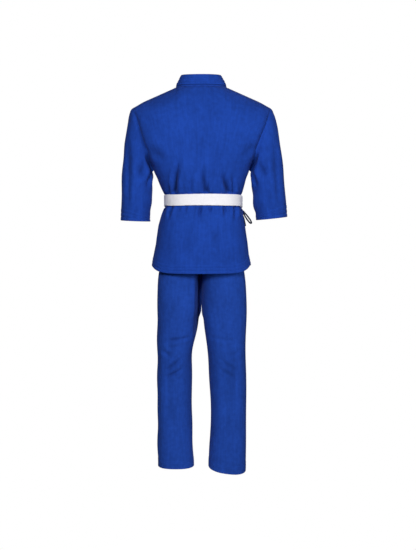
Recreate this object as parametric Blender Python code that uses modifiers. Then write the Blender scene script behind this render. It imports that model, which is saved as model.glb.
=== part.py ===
"""Martial arts uniform: wrap jacket, belt and trousers, at rest on an upright wearer.

Metres, +Z up, the wearer faces -Y and the wearer's left is +X. Heights below are
measured from the trouser hem; the frame empty moves the neck base to the origin.
"""

import math

import bpy
from mathutils import Matrix, Vector

NECK_BASE = 1.397
CLOTH = 0.0024
FACING = 0.0016
LAYER = 0.0040
SEAM = 0.0009
OVAL = 2.4
TILT = 0.060
BELT_LEVEL = 0.981
BELT_WIDTH = 0.040
WAIST_JOIN = 0.950
ARMPIT = 1.082
SHOULDER = 1.326
SHOULDER_X = 0.252
NECK_X = 0.088
NECK_DEPTH = 0.065
ROLL = 0.10
LAPEL = 0.048
COLLAR_TOP = 1.438
LAPEL_TURN = 1.300

HALF_WIDTH = [(0.72, 0.184), (0.82, 0.168), (0.89, 0.158), (0.93, 0.1475), (0.944, 0.1412), (0.953, 0.1355),
              (1.003, 0.1355), (1.012, 0.142), (1.02, 0.146), (1.04, 0.154), (1.065, 0.161), (ARMPIT, 0.174),
              (SHOULDER, SHOULDER_X), (1.5, SHOULDER_X)]
BACK_DEPTH = [(0.72, 0.136), (0.86, 0.125), (0.93, 0.115), (0.944, 0.1105), (0.953, 0.106), (1.003, 0.106),
              (1.012, 0.111), (1.03, 0.116), (1.10, 0.124), (1.22, 0.125), (1.30, 0.115), (1.40, 0.10)]
FRONT_DEPTH = [(0.72, 0.136), (0.86, 0.125), (0.93, 0.115), (0.944, 0.1105), (0.953, 0.107), (1.003, 0.107),
               (1.012, 0.111), (1.03, 0.116), (1.10, 0.126), (1.22, 0.120), (1.30, 0.105), (1.40, 0.09)]
LAPEL_EDGE = [(0.72, -0.106), (0.984, -0.085), (NECK_BASE, 0.078), (1.5, 0.078)]

SLEEVE_LEFT = [(0.178, 1.072, 0.2625, 1.298, 0.075), (0.180, 1.055, 0.2705, 1.262, 0.075),
               (0.181, 1.035, 0.277, 1.215, 0.074), (0.182, 1.010, 0.283, 1.165, 0.073),
               (0.183, 0.985, 0.2875, 1.110, 0.071), (0.185, 0.955, 0.291, 1.045, 0.069),
               (0.187, 0.931, 0.2935, 0.976, 0.067), (0.189, 0.907, 0.2955, 0.911, 0.066)]
SLEEVE_RIGHT = [(0.179, 1.071, 0.263, 1.298, 0.075), (0.182, 1.053, 0.272, 1.262, 0.075),
                (0.184, 1.033, 0.280, 1.215, 0.074), (0.187, 1.008, 0.288, 1.165, 0.073),
                (0.190, 0.983, 0.295, 1.112, 0.071), (0.194, 0.953, 0.302, 1.048, 0.069),
                (0.198, 0.935, 0.308, 0.984, 0.067), (0.201, 0.912, 0.313, 0.924, 0.066)]

SEAT = [(0.785, 0.152, 0.100), (0.82, 0.148, 0.100), (0.87, 0.140, 0.098), (0.90, 0.131, 0.095),
        (0.986, 0.128, 0.093)]
LEG_LEFT = [(0.002, 0.030, 0.163, 0.070), (0.13, 0.037, 0.163, 0.071), (0.26, 0.038, 0.163, 0.073),
            (0.40, 0.037, 0.163, 0.077), (0.464, 0.030, 0.163, 0.080), (0.51, 0.0185, 0.163, 0.082),
            (0.58, 0.005, 0.163, 0.086), (0.68, 0.004, 0.161, 0.089), (0.73, 0.0035, 0.156, 0.090),
            (0.757, 0.0035, 0.146, 0.090), (0.775, 0.0035, 0.145, 0.090), (0.800, 0.0035, 0.1425, 0.087)]
LEG_RIGHT = [(0.002, 0.027, 0.163, 0.070), (0.13, 0.033, 0.163, 0.071), (0.26, 0.033, 0.163, 0.073),
             (0.40, 0.026, 0.163, 0.077), (0.464, 0.0185, 0.163, 0.080), (0.51, 0.012, 0.163, 0.082),
             (0.58, 0.005, 0.163, 0.086), (0.68, 0.004, 0.161, 0.089), (0.73, 0.0035, 0.156, 0.090),
             (0.757, 0.0035, 0.146, 0.090), (0.775, 0.0035, 0.145, 0.090), (0.800, 0.0035, 0.1425, 0.087)]


PIVOTS = {
    "left_sleeve_raise": ((0.2545, 0, 1.3295), ("sleeve_left", "sleeve_hem_left")),
    "right_sleeve_raise": ((-0.2545, 0, 1.3295), ("sleeve_right", "sleeve_hem_right")),
    "back_tail_swing": ((0, 0.1114, 0.9567), ("back_tail", "back_tail_hem")),
    "under_tail_swing": ((0, -0.1252, 0.9425),
                         ("front_tail_right", "front_tail_hem_right", "lapel_tail_right")),
    "over_tail_swing": ((0, -0.1252, 0.9425),
                        ("front_tail_left", "front_tail_hem_left", "lapel_tail_left")),
    "belt_end_left_swing": ((0, -0.1485, 0.9390), ("belt_end_left",)),
    "belt_end_right_swing": ((0, -0.1485, 0.9390), ("belt_end_right",)),
    "side_bow_swing": ((-0.1430, -0.044, 0.947),
                       ("tie_loop_back", "tie_loop_front", "tie_end_back", "tie_end_front")),
    "trousers_off": ((0, 0, 1.030), ("trouser_seat", "waistband", "waist_elastic")),
    "left_leg_swing": ((0.075, 0, 0.775), ("trouser_leg_left", "leg_hem_left")),
    "right_leg_swing": ((-0.075, 0, 0.775), ("trouser_leg_right", "leg_hem_right")),
}


def clear_scene():
    for item in list(bpy.data.objects):
        bpy.data.objects.remove(item, do_unlink=True)


def curve(table, z):
    for (low, first), (high, second) in zip(table, table[1:]):
        if z <= high:
            share = max(0.0, (z - low) / (high - low))
            return first + (second - first) * share
    return table[-1][1]


def smooth(value):
    value = min(1.0, max(0.0, value))
    return value * value * (3 - 2 * value)


def power(value, exponent):
    return math.copysign(abs(value) ** exponent, value)


def oval(angle, half_width, half_depth):
    x = half_width * power(math.cos(angle), 2 / OVAL)
    y = half_depth * power(math.sin(angle), 2 / OVAL)
    return x, y


def tilt_share(level):
    """How far the cloth near the belt follows the belt's slope."""
    return 1 - smooth((abs(level - BELT_LEVEL) - 0.035) / 0.08)


def top_level(x):
    """Height of the shoulder seam, or of the neckline inside it."""
    outside = max(0.0, abs(x) - NECK_X)
    return NECK_BASE - outside * (NECK_BASE - SHOULDER) / (SHOULDER_X - NECK_X)


def jacket_point(x, level, side, lift=0.0):
    """A point of the jacket cloth: side is 1 behind and -1 in front, lift moves it outward."""
    half = curve(HALF_WIDTH, level)
    share = min(1.0, abs(x) / half)
    hold = 0.6 * math.sqrt(min(1.0, max(0.0, (level - ARMPIT) / 0.09)))
    round_part = (1 - share ** OVAL) ** (1 / OVAL)
    depth = curve(BACK_DEPTH if side > 0 else FRONT_DEPTH, level)
    lift *= smooth((half - abs(x)) / 0.05)
    full = depth * (hold + (1 - hold) * round_part)
    rise = min(1.0, max(0.0, (top_level(x) - level) / ROLL))
    roll = math.sqrt(1 - (1 - rise) ** 2)
    neck = 0.0
    if side > 0 and abs(x) < NECK_X:
        neck = NECK_DEPTH * math.sqrt(1 - (x / NECK_X) ** 2)
    y = side * (SEAM + neck + (full - neck) * roll + lift * math.sqrt(rise))
    return Vector((x, y, level + TILT * y * tilt_share(level) + lift * math.sqrt(1 - rise)))


def hem_level(x):
    """Height of the jacket hem, lowest in the middle and a little higher on the wearer's right."""
    share = min(1.0, abs(x) / 0.18)
    rise = 0.023 if x > 0 else 0.030
    return 0.723 + rise * share ** 8


def angle_of(x, half):
    share = max(-1.0, min(1.0, x / half))
    return math.acos(power(share, OVAL / 2))


def make_material(name, colour, roughness):
    material = bpy.data.materials.new(name)
    material.use_nodes = True
    shader = material.node_tree.nodes["Principled BSDF"]
    shader.inputs["Base Color"].default_value = colour
    shader.inputs["Roughness"].default_value = roughness
    return material


def enclosed(points, faces):
    """Six times the signed volume inside a closed set of faces."""
    total = 0.0
    for face in faces:
        for second, third in zip(face[1:], face[2:]):
            total += points[face[0]].dot(points[second].cross(points[third]))
    return total


def add_mesh(name, points, faces, look, thickness=0.0):
    """One sheet or solid with its own copy of a look; a thickness makes a sheet solid."""
    mesh = bpy.data.meshes.new(name)
    mesh.from_pydata(points, [], faces)
    if not thickness and enclosed(points, faces) < 0:
        mesh.flip_normals()
    mesh.update()
    item = bpy.data.objects.new(name, mesh)
    item.data.materials.append(make_material(name + "_look", *look))
    item.parent = frame
    parts.objects.link(item)
    if thickness:
        solid = item.modifiers.new("thickness", "SOLIDIFY")
        solid.thickness = thickness
        solid.offset = 0.0
        solid.use_even_offset = False
    return item


def add_sheet(name, rows, look, thickness=CLOTH, closed=False):
    """A sheet through rows of points; closed joins the last column to the first."""
    width = len(rows[0])
    points = [point for row in rows for point in row]
    faces = []
    columns = width if closed else width - 1
    for row in range(len(rows) - 1):
        for column in range(columns):
            after = (column + 1) % width
            low = row * width
            high = low + width
            faces.append((low + column, low + after, high + after, high + column))
    return add_mesh(name, points, faces, look, thickness)


def fractions(count):
    return [index / count for index in range(count + 1)]


def body_levels(top):
    """Heights from just below the belt to the top, closest together at the belt and the shoulder."""
    low = [WAIST_JOIN + 0.0012, 0.957, 1.003, 1.012, 1.025, 1.042, 1.062, ARMPIT]
    return low + [top - (top - ARMPIT) * (1 - share) ** 1.5 for share in fractions(9)[1:]]


def back_body():
    rows = []
    for step in range(17):
        row = []
        for turn in fractions(24):
            x = SHOULDER_X * power(math.cos(math.pi * turn), 2 / OVAL)
            level = body_levels(top_level(x))[step]
            share = x / SHOULDER_X
            row.append(jacket_point(share * curve(HALF_WIDTH, level), level, 1))
        rows.append(row)
    add_sheet("back_body", rows, BLUE)


def front_point(hand, turn, level, lift, inset=0.028):
    """A point of one front panel, turn 0 at its side seam and 1 at its front edge."""
    half = curve(HALF_WIDTH, level)
    edge = curve(LAPEL_EDGE, level) + inset
    x = half * power(math.cos(angle_of(edge, half) * turn), 2 / OVAL)
    return jacket_point(hand * x, level, -1, lift)


def front_top(turn):
    level = NECK_BASE
    for _ in range(12):
        level = top_level(front_point(1, turn, level, 0.0).x)
    return level


def front_body(name, hand, lift):
    tops = [front_top(turn) for turn in fractions(13)]
    rows = []
    for step in range(17):
        row = []
        for turn, top in zip(fractions(13), tops):
            level = body_levels(top)[step]
            row.append(front_point(hand, turn, level, lift))
        rows.append(row)
    add_sheet(name, rows, BLUE)


def tail_levels(low):
    return [WAIST_JOIN - 0.0012, 0.944, 0.93, 0.905, 0.865, 0.82, 0.78, low]


def back_tail():
    rows = []
    for step in range(8):
        row = []
        for turn in fractions(24):
            across = power(math.cos(math.pi * turn), 2 / OVAL)
            level = tail_levels(hem_level(across * 0.18))[step]
            row.append(jacket_point(across * curve(HALF_WIDTH, level), level, 1))
        rows.append(row)
    add_sheet("back_tail", rows, BLUE)


def front_tail(name, hand, lift):
    rows = []
    for step in range(8):
        row = []
        for turn in fractions(13):
            foot = front_point(hand, turn, 0.75, lift)
            level = tail_levels(hem_level(foot.x))[step]
            row.append(front_point(hand, turn, level, lift))
        rows.append(row)
    add_sheet(name, rows, BLUE)


def back_tail_hem():
    rows = []
    for rise in (0.003, 0.020, 0.037):
        row = []
        for turn in fractions(20):
            across = power(math.cos(math.pi * turn), 2 / OVAL) * 0.96
            level = hem_level(across * 0.18) + rise
            point = jacket_point(across * curve(HALF_WIDTH, level), level, 1)
            row.append(inward(point, 0.0030))
        rows.append(row)
    add_sheet("back_tail_hem", rows, INNER, FACING)


def front_tail_hem(name, hand, lift, reach):
    rows = []
    for rise in (0.003, 0.020, 0.037):
        row = []
        for turn in fractions(10):
            turn = 0.05 + turn * reach
            foot = front_point(hand, turn, 0.75, lift)
            level = hem_level(foot.x) + rise
            row.append(inward(front_point(hand, turn, level, lift), 0.0030))
        rows.append(row)
    add_sheet(name, rows, INNER, FACING)


def inward(point, distance):
    """Moves a point of the skirt toward the wearer, square to an oval."""
    normal = Vector((point.x / 0.18 ** 2, point.y / 0.13 ** 2, 0)).normalized()
    return point - normal * distance


def lapel_point(hand, share, level, lift):
    x = curve(LAPEL_EDGE, level) + LAPEL * share
    return jacket_point(hand * x, level, -1, lift)


def lapel(name, hand, lift):
    """The band along the upper front edge: flat on the chest, then turning up to meet the collar."""
    shares = (0.0, 0.33, 0.67, 1.0)
    rows = [[lapel_point(hand, share, level, lift) for share in shares] for level in body_levels(LAPEL_TURN)]
    outer = [lapel_outer(hand, climb, lift) for climb in fractions(5)]
    inner_foot = lapel_point(hand, 0.0, LAPEL_TURN, lift)
    inner_top = Vector((hand * 0.0740, -0.0035, COLLAR_TOP - 0.003))
    for climb, edge in list(zip(fractions(5), outer))[1:]:
        inner = inner_foot.lerp(inner_top, climb)
        bulge = Vector((0, -0.013, 0.004)) * math.sin(math.pi * climb ** 0.7)
        rows.append([inner.lerp(edge, share) + bulge * (1 - 0.6 * share) for share in shares])
    add_sheet(name, rows, BLUE)


def lapel_outer(hand, climb, lift):
    """The band's outer edge beside the neck: 0 where it starts to turn up, 1 at the collar's foot."""
    x = curve(LAPEL_EDGE, LAPEL_TURN) + LAPEL
    x += (0.0945 - x) * climb
    level = LAPEL_TURN + (NECK_BASE - 0.001 - LAPEL_TURN) * climb
    point = jacket_point(hand * x, level, -1, lift)
    return point + Vector((0, 0, 0.005 * climb))


def lapel_tail(name, hand, lift, skipped=0):
    """The band along a front tail's edge; the covered one leaves out its first rows under the belt."""
    rows = []
    for level in tail_levels(0.734)[skipped:]:
        rows.append([lapel_point(hand, share, level, lift) for share in (0.0, 0.33, 0.67, 1.0)])
    add_sheet(name, rows, BLUE)


def collar_back():
    rows = []
    for rise in fractions(3):
        row = []
        for turn in fractions(14):
            angle = math.pi * turn
            x = (0.0925 - 0.0185 * rise) * math.cos(angle)
            y = (0.067 - 0.004 * rise) * math.sin(angle) + 0.001
            row.append(Vector((x, y, 1.4020 + (COLLAR_TOP - 1.4020) * rise)))
        rows.append(row)
    add_sheet("collar_back", rows, BLUE)


def armhole_ring(count, gap):
    """The armhole loop, moved outward by a gap along the line square to it."""
    ring = []
    for turn in range(count):
        angle = 2 * math.pi * turn / count
        level = (ARMPIT + SHOULDER) / 2 + (SHOULDER - ARMPIT) / 2 * math.cos(angle)
        side = 1 if math.sin(angle) >= 0 else -1
        point = jacket_point(curve(HALF_WIDTH, level), level, side)
        ring.append(Vector((point.x + 0.953 * gap, point.y, point.z - 0.303 * gap)))
    return ring


def sleeve_ring(section, count, inset=0.0):
    inner_x, inner_z, outer_x, outer_z, depth = section
    ring = []
    slope = Vector((outer_x - inner_x, 0, outer_z - inner_z))
    shrink = inset / slope.length
    for turn in range(count):
        angle = 2 * math.pi * turn / count
        along = 0.5 + (0.5 - shrink) * math.cos(angle)
        y = (depth - inset) * math.sin(angle)
        ring.append(Vector((inner_x + slope.x * along, y, inner_z + slope.z * along)))
    return ring


def sleeve(name, hand, sections):
    count = 20
    start = armhole_ring(count, 0.0022)
    rings = [start]
    for index, section in enumerate(sections):
        plain = sleeve_ring(section, count)
        share = smooth((index + 1) / 3)
        if index < 2:
            y_mix = [first.y * (1 - share) + second.y * share for first, second in zip(start, plain)]
            plain = [Vector((point.x, y, point.z)) for point, y in zip(plain, y_mix)]
        rings.append(plain)
    rings = [[Vector((hand * point.x, point.y, point.z)) for point in ring] for ring in rings]
    add_sheet(name, rings, BLUE, CLOTH, True)


def between(first, second, share):
    return tuple(one + (two - one) * share for one, two in zip(first, second))


def sleeve_hem(name, hand, sections):
    rings = []
    for share in (0.0, 0.5, 0.93):
        section = between(sections[-2], sections[-1], share)
        ring = sleeve_ring(section, 20, 0.0034)
        rings.append([Vector((hand * point.x, point.y, point.z)) for point in ring])
    add_sheet(name, rings, INNER, FACING, True)


def belt_turn(name, half_width, back, front, drop):
    rows = []
    for rise in (-0.5, 0.0, 0.5):
        row = []
        for turn in range(32):
            x, y = oval(2 * math.pi * turn / 32, half_width, 1.0)
            y *= back if y > 0 else front
            low = drop * smooth(0.5 - 0.5 * x / half_width)
            row.append(Vector((x, y, BELT_LEVEL + TILT * y + BELT_WIDTH * rise - low)))
        rows.append(row)
    add_sheet(name, rows, WHITE, 0.0022, True)


def belt_knot():
    """A flat square knot, pinched where the belt wraps over it."""
    points = []
    faces = []
    rings = ((-1.0, 0.55), (-0.7, 0.95), (-0.25, 1.0), (0.25, 1.0), (0.7, 0.95), (1.0, 0.55))
    for along, size in rings:
        for turn in range(12):
            y, z = oval(2 * math.pi * turn / 12, 0.012 * size, 0.021 * size)
            points.append(Vector((0.027 * along, -0.1435 + y, 0.9725 + z)))
    for ring in range(len(rings) - 1):
        for turn in range(12):
            after = (turn + 1) % 12
            low = ring * 12
            faces.append((low + turn, low + 12 + turn, low + 12 + after, low + after))
    faces.append(tuple(range(12)))
    faces.append(tuple(reversed(range(60, 72))))
    add_mesh("belt_knot", points, faces, WHITE)


def belt_end(name, hand, reach):
    rows = []
    for share in fractions(7):
        x = hand * (0.021 + 0.036 * share)
        y = -0.1470 - 0.013 * smooth(share * 1.4)
        z = 0.9340 - reach * share
        side = Vector((0.5 * BELT_WIDTH, 0, hand * 0.0028 + 0.0 * share))
        middle = Vector((x, y, z))
        rows.append([middle - side, middle - Vector((0, 0.0006, 0)), middle + side])
    add_sheet(name, rows, WHITE, 0.0030)


def add_cord(name, path, radius, look, closed=False):
    """A round cord through the points of a path, with flat ends."""
    count = len(path)
    points = []
    faces = []
    for index, centre in enumerate(path):
        before = path[(index - 1) % count] if closed or index else centre
        after = path[(index + 1) % count] if closed or index < count - 1 else centre
        along = (after - before).normalized()
        first = along.cross(Vector((0, 1, 0.01))).normalized()
        second = along.cross(first)
        for turn in range(8):
            angle = 2 * math.pi * turn / 8
            points.append(centre + first * radius * math.cos(angle) + second * radius * math.sin(angle))
    last = count if closed else count - 1
    for ring in range(last):
        for turn in range(8):
            low = ring * 8
            high = (ring + 1) % count * 8
            after = (turn + 1) % 8
            faces.append((low + turn, low + after, high + after, high + turn))
    if not closed:
        faces.append(tuple(reversed(range(8))))
        faces.append(tuple(range((count - 1) * 8, count * 8)))
    return add_mesh(name, points, faces, look)


def tie_loop(name, start, along, across, reach, spread):
    """One flattened loop of the side bow, reaching from its knot along one line."""
    top = Vector(start)
    along = Vector(along).normalized()
    across = Vector(across).normalized()
    path = []
    for turn in fractions(20):
        angle = 2 * math.pi * (0.06 + 0.88 * turn)
        far = 0.5 * reach * (1 - math.cos(angle))
        path.append(top + along * far + across * spread * math.sin(angle) * (0.35 + 0.65 * far / reach))
    add_cord(name, path, 0.0026, NAVY)


def tie_end(name, y, forward, drop):
    """One loose end of the side bow, lying on the side of the skirt."""
    path = []
    for share in fractions(7):
        z = 0.9370 - drop * share
        ahead = y - forward * share
        half = curve(HALF_WIDTH, z) * (1 - (abs(ahead) / curve(FRONT_DEPTH, z)) ** OVAL) ** (1 / OVAL)
        path.append(Vector((-half - 0.0060 - 0.0035 * smooth(share * 2), ahead, z)))
    add_cord(name, path, 0.0026, NAVY)


def tie_knot():
    points = []
    faces = []
    sizes = ((-1.0, 0.5), (-0.6, 0.95), (0.0, 1.0), (0.6, 0.95), (1.0, 0.5))
    for along, size in sizes:
        for turn in range(10):
            angle = 2 * math.pi * turn / 10
            points.append(Vector((-0.1420 + 0.0065 * size * math.cos(angle), 0.0110 * along - 0.044,
                                  0.9490 + 0.0060 * size * math.sin(angle))))
    for ring in range(len(sizes) - 1):
        for turn in range(10):
            after = (turn + 1) % 10
            low = ring * 10
            faces.append((low + turn, low + after, low + 10 + after, low + 10 + turn))
    faces.append(tuple(reversed(range(10))))
    faces.append(tuple(range(40, 50)))
    add_mesh("tie_knot", points, faces, NAVY)


def plain_ring(z, half_width, half_depth, count=28):
    ring = []
    for turn in range(count):
        x, y = oval(2 * math.pi * turn / count, half_width, half_depth)
        ring.append(Vector((x, y, z)))
    return ring


def trouser_seat():
    rings = [plain_ring(z, half, depth) for z, half, depth in SEAT]
    add_sheet("trouser_seat", rings, TROUSER, CLOTH, True)


def waistband():
    """The folded casing round the waist, open below, with the elastic inside it."""
    profile = ((0.990, 0.0), (1.008, 0.0), (1.0265, 0.0004), (1.0295, -0.0036), (1.0265, -0.0076),
               (1.008, -0.0080), (0.990, -0.0080))
    rings = [plain_ring(z, 0.127 + shift, 0.092 + shift) for z, shift in profile]
    add_sheet("waistband", rings, TROUSER, 0.0020, True)
    rings = [plain_ring(z, 0.123, 0.088) for z in (0.994, 1.008, 1.022)]
    add_sheet("waist_elastic", rings, WHITE, 0.0018, True)


def hem_drop(across, behind, z):
    """How much lower the wearer's right trouser hem hangs toward its outer and back sides."""
    return (0.016 * across + 0.010 * max(0.0, behind)) * max(0.0, 1 - z / 0.3)


def leg_ring(hand, section, inset=0.0, count=20):
    z, inner, outer, depth = section
    middle = (inner + outer) / 2
    half = (outer - inner) / 2 - inset
    ring = []
    for turn in range(count):
        x, y = oval(2 * math.pi * turn / count, half, depth - inset)
        x += middle
        if z > 0.75:
            reach = ((abs(x) / 0.1425) ** OVAL + (abs(y) / 0.0890) ** OVAL) ** (1 / OVAL)
            y /= max(1.0, reach ** 2)
        drop = 0.0 if hand > 0 else hem_drop((x - inner) / (outer - inner), y / depth, z)
        ring.append(Vector((hand * x, y, z - drop)))
    return ring


def trouser_leg(name, hand, sections):
    add_sheet(name, [leg_ring(hand, section) for section in sections], TROUSER, CLOTH, True)


def leg_hem(name, hand, sections):
    rings = []
    for z in (0.004, 0.020, 0.036):
        section = between(sections[0], sections[1], (z - 0.002) / 0.128)
        rings.append(leg_ring(hand, section, 0.0032))
    add_sheet(name, rings, INNER, FACING, True)


def hang_on_pivots():
    """Gives every moving piece its origin on its joint's axis, under an empty named for the joint."""
    for name, (place, pieces) in PIVOTS.items():
        pivot = bpy.data.objects.new(name, None)
        pivot.location = place
        pivot.parent = frame
        parts.objects.link(pivot)
        for piece in pieces:
            item = bpy.data.objects[piece]
            item.data.transform(Matrix.Translation(-pivot.location))
            item.parent = pivot


clear_scene()
parts = bpy.data.collections.new("martial_arts_uniform")
bpy.context.scene.collection.children.link(parts)
frame = bpy.data.objects.new("neck_base", None)
frame.location = (0, 0, -NECK_BASE)
parts.objects.link(frame)

BLUE = ((0.017, 0.063, 0.352, 1.0), 0.9)
INNER = ((0.014, 0.052, 0.300, 1.0), 0.9)
TROUSER = ((0.015, 0.057, 0.318, 1.0), 0.9)
WHITE = ((0.90, 0.91, 0.93, 1.0), 0.85)
NAVY = ((0.008, 0.012, 0.040, 1.0), 0.8)

back_body()
front_body("front_body_left", 1, 2 * LAYER)
front_body("front_body_right", -1, 0.0)
back_tail()
back_tail_hem()
front_tail("front_tail_left", 1, 2 * LAYER)
front_tail("front_tail_right", -1, 0.0)
front_tail_hem("front_tail_hem_left", 1, 2 * LAYER, 0.36)
front_tail_hem("front_tail_hem_right", -1, 0.0, 0.92)
collar_back()
lapel("lapel_left", 1, 3 * LAYER)
lapel("lapel_right", -1, LAYER)
lapel_tail("lapel_tail_left", 1, 3 * LAYER)
lapel_tail("lapel_tail_right", -1, LAYER, 2)
sleeve("sleeve_left", 1, SLEEVE_LEFT)
sleeve("sleeve_right", -1, SLEEVE_RIGHT)
sleeve_hem("sleeve_hem_left", 1, SLEEVE_LEFT)
sleeve_hem("sleeve_hem_right", -1, SLEEVE_RIGHT)
belt_turn("belt_inner_turn", 0.1395, 0.1100, 0.1242, 0.0)
belt_turn("belt_outer_turn", 0.1427, 0.1132, 0.1274, 0.0015)
belt_knot()
belt_end("belt_end_left", 1, 0.250)
belt_end("belt_end_right", -1, 0.235)
tie_knot()
tie_loop("tie_loop_back", (-0.1450, -0.0285, 0.9490), (-0.58, 0, -0.815), (-0.815, 0, 0.58), 0.062, 0.0060)
tie_loop("tie_loop_front", (-0.1415, -0.0595, 0.9465), (0.15, -0.80, -0.58), (0, 0.58, -0.80), 0.038, 0.006)
tie_end("tie_end_back", -0.0440, 0.006, 0.048)
tie_end("tie_end_front", -0.0520, 0.010, 0.044)
trouser_seat()
waistband()
trouser_leg("trouser_leg_left", 1, LEG_LEFT)
trouser_leg("trouser_leg_right", -1, LEG_RIGHT)
leg_hem("leg_hem_left", 1, LEG_LEFT)
leg_hem("leg_hem_right", -1, LEG_RIGHT)
hang_on_pivots()
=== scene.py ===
"""Looks for the martial arts uniform: woven cotton jacket and trousers, stitched belt, side tie bow.

Lengths are metres. Shapes are drawn with heights counted from 2 mm below the left trouser hem, and shell()
lowers them by NECK_BASE into the part's own frame. +X is the wearer's left and -Y is in front; a hand of 1
is the wearer's left side and -1 the right.
"""

import math

import bpy
import numpy as np
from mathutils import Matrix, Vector


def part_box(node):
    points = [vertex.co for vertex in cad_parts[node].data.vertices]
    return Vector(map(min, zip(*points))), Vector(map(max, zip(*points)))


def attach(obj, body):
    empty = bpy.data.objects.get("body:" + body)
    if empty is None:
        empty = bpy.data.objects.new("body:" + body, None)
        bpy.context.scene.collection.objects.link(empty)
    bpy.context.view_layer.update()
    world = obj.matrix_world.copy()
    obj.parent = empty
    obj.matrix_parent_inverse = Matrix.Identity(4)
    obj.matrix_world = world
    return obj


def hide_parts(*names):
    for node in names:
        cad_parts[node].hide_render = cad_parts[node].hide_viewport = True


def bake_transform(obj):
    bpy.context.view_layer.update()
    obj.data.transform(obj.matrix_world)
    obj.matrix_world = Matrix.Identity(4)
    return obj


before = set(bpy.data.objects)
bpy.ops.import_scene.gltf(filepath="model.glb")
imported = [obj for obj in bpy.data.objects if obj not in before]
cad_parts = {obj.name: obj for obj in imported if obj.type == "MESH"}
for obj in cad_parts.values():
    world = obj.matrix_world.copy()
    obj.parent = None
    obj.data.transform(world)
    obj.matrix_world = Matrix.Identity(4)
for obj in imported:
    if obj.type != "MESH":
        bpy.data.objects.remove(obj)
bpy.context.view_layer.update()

NECK_BASE = 0.002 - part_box("trouser_leg_left")[0].z

# Cloth. Stitched ROWS are (distance of the first from the edge, spacing, number).
CLOTH = 0.0013
LAYER = 0.0040
STITCH = 0.0032
HEM_DEEP = 0.034
HEM_ROWS = (0.0095, 0.0108, 3)
COLLAR_ROWS = (0.0120, 0.0095, 3)
TROUSER_HEM_DEEP = 0.032
TROUSER_HEM_ROWS = (0.024, 0.005, 2)

# Colours
BLUE = (0.0098, 0.0500, 0.3250, 1.0)
TROUSER_BLUE = (0.0115, 0.0530, 0.3200, 1.0)
WHITE = (0.86, 0.85, 0.89, 1.0)
NAVY = (0.006, 0.010, 0.034, 1.0)

# Jacket. A negative SEAM overlaps back and front at the shoulder seams. OVAL rounds the body's cross-section,
# where 2 is an ellipse. ROLL is how far below its top edge the cloth has turned from level to upright.
SEAM = -0.0004
OVAL = 2.4
ROLL = 0.10
ARMPIT = 1.092
SHOULDER = 1.3185
SHOULDER_X = 0.252
SEAM_TOP = 1.394
SEAM_SLOPE = 0.442
NECK_X = 0.088
NECK_DEPTH = 0.065
COLLAR_TOP = 1.438
COLLAR_BEND = 1.402
LAPEL = 0.048
LAPEL_TURN = 1.300
BAND_THICKNESS = 0.0028
BAND_COLUMNS = 44
FRONT_INSET = 0.020
TUCK = 0.011
SLEEVE_WAY = np.array([0.953, 0, -0.303])
CHEST = np.array([0, 0.05, 1.2])

# Tails, joined to the upper jacket under the belt, and the heights over which they bend
WAIST_JOIN = 0.984
JOIN_GAP = 0.0012
TAIL_BEND = (0.955, 0.885)
TAIL_HEM = 0.036
VENT_X = 0.18
HIPS = np.array([0, 0.05, 0.85])

# Belt and side tie. TILT raises the belt behind, and WAIST_SHIFT moves the waist toward the wearer's right.
BELT_LEVEL = 0.981
BELT_WIDTH = 0.040
TILT = 0.060
WAIST_SHIFT = -0.0062
BELT_KNOT = np.array([0.0, -0.1435, 0.9725])
CORD_RADIUS = 0.0026
TIE_SHIFT = np.array([WAIST_SHIFT / 2, 0, 0])
TIE_KNOT = np.array([-0.1420, -0.0440, 0.9490])

# Trousers
SEAT_LOW = 0.785
LEG_BEND = (0.800, 0.690)

# (side, hand, lift): the left front is worn over the right one
FRONTS = (("left", 1, 2 * LAYER), ("right", -1, 0.0))
TAIL_BODIES = {"left": ("under_tail", "over_tail"), "right": ("jacket", "under_tail")}

# Rows of (height, size)
HALF_WIDTH = [(0.72, 0.184), (0.82, 0.168), (0.89, 0.158), (0.93, 0.1475), (0.944, 0.1412), (0.953, 0.1355),
              (1.003, 0.1355), (1.012, 0.142), (1.02, 0.146), (1.04, 0.154), (1.065, 0.161), (ARMPIT, 0.174),
              (1.326, SHOULDER_X), (1.5, SHOULDER_X)]
TAIL_DEPTH = [(0.72, 0.136), (0.86, 0.125), (0.93, 0.115), (0.944, 0.1105)]
BACK_DEPTH = TAIL_DEPTH + [(0.953, 0.106), (1.003, 0.106), (1.012, 0.111), (1.03, 0.116), (1.10, 0.124),
                           (1.22, 0.125), (1.30, 0.115), (1.40, 0.10)]
FRONT_DEPTH = TAIL_DEPTH + [(0.953, 0.107), (1.003, 0.107), (1.012, 0.111), (1.03, 0.116), (1.10, 0.126),
                            (1.22, 0.120), (1.30, 0.105), (1.40, 0.09)]
LAPEL_EDGE = [(0.72, -0.106), (WAIST_JOIN, -0.085), (1.397, 0.078), (1.5, 0.078)]

# Rings down each sleeve: (inner x, inner height, outer x, outer height, half depth)
SLEEVE_LEFT = [(0.178, 1.072, 0.2625, 1.298, 0.075), (0.180, 1.055, 0.2705, 1.262, 0.075),
               (0.181, 1.035, 0.277, 1.215, 0.074), (0.182, 1.010, 0.283, 1.165, 0.073),
               (0.183, 0.985, 0.2875, 1.110, 0.071), (0.185, 0.955, 0.291, 1.045, 0.069),
               (0.187, 0.931, 0.2935, 0.976, 0.067), (0.189, 0.907, 0.2955, 0.911, 0.066)]
SLEEVE_RIGHT = [(0.179, 1.071, 0.263, 1.298, 0.075), (0.182, 1.053, 0.272, 1.262, 0.075),
                (0.184, 1.033, 0.280, 1.215, 0.074), (0.187, 1.008, 0.288, 1.165, 0.073),
                (0.190, 0.983, 0.295, 1.112, 0.071), (0.194, 0.953, 0.302, 1.048, 0.069),
                (0.198, 0.935, 0.308, 0.984, 0.067), (0.201, 0.912, 0.313, 0.924, 0.066)]

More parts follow.
